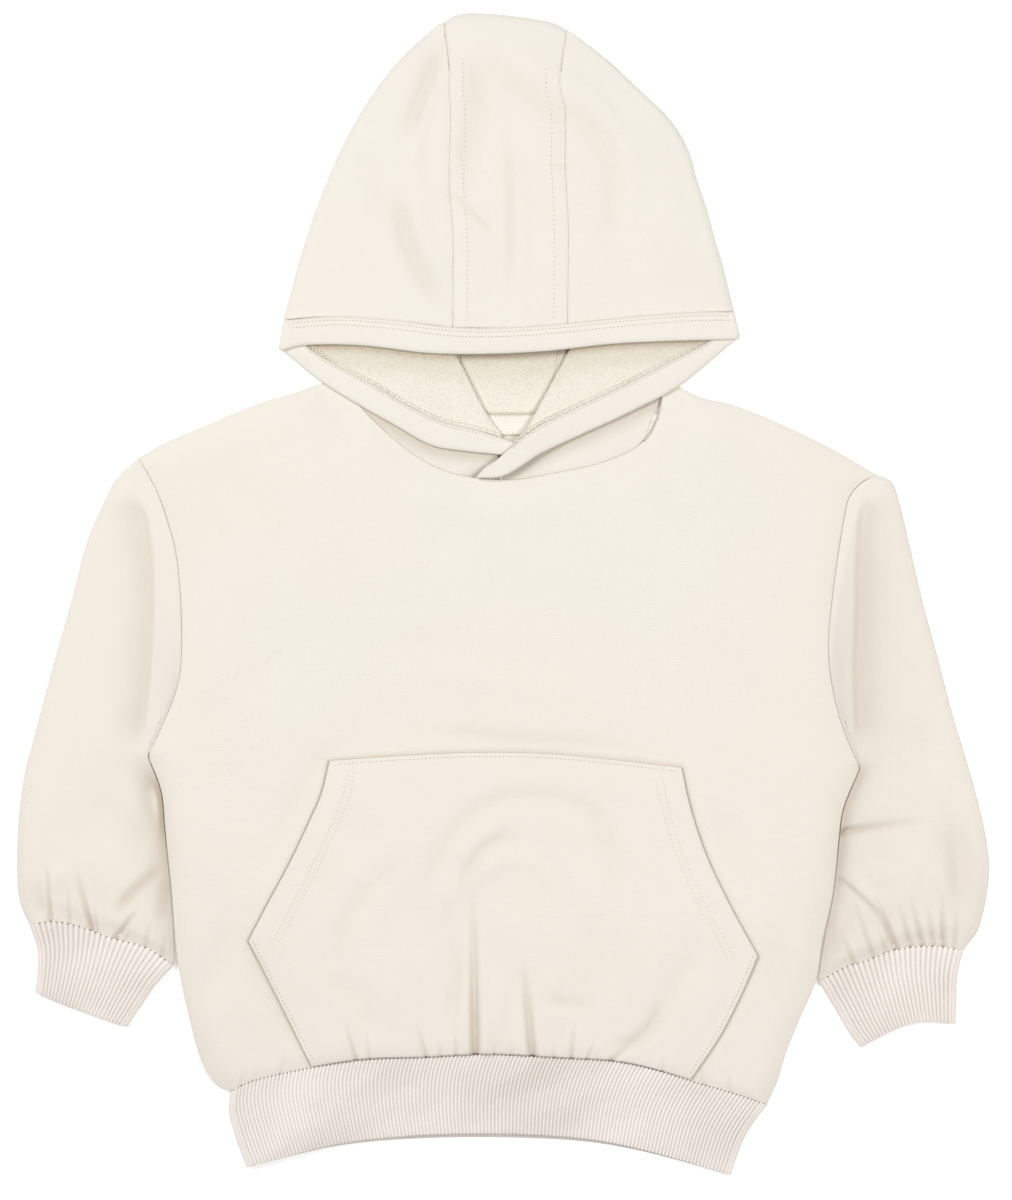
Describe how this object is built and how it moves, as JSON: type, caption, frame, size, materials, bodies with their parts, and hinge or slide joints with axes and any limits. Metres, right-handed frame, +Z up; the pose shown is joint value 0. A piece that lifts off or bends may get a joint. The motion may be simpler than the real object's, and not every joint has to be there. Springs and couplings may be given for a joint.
{
  "type": "toddler hoodie",
  "caption": "Plain toddler's pullover hoodie laid flat, with kangaroo pocket, ribbed cuffs and hem, and a three-panel hood spread open with its front edges crossed.",
  "frame": {"origin": "on the table, under the middle of the garment", "axes": "+X to the right of the garment as seen from above, +Y from the hem to the hood, +Z up from the table"},
  "size_m": [0.5139, 0.6148, 0.0098],
  "materials": {
    "face": "matte cotton French terry",
    "rib": "matte cotton rib knit",
    "tape": "cotton herringbone twill"
  },
  "bodies": {
    "root": {"back": "face", "front": "face", "pocket": "face", "sleeve_left": "face", "sleeve_right": "face", "cuff_left": "rib", "cuff_right": "rib", "hem_band": "rib", "hood_side_left": "face", "hood_side_right": "face", "hood_centre": "face", "hood_band": "face", "neck_tape": "tape"}
  },
  "joints": []
}
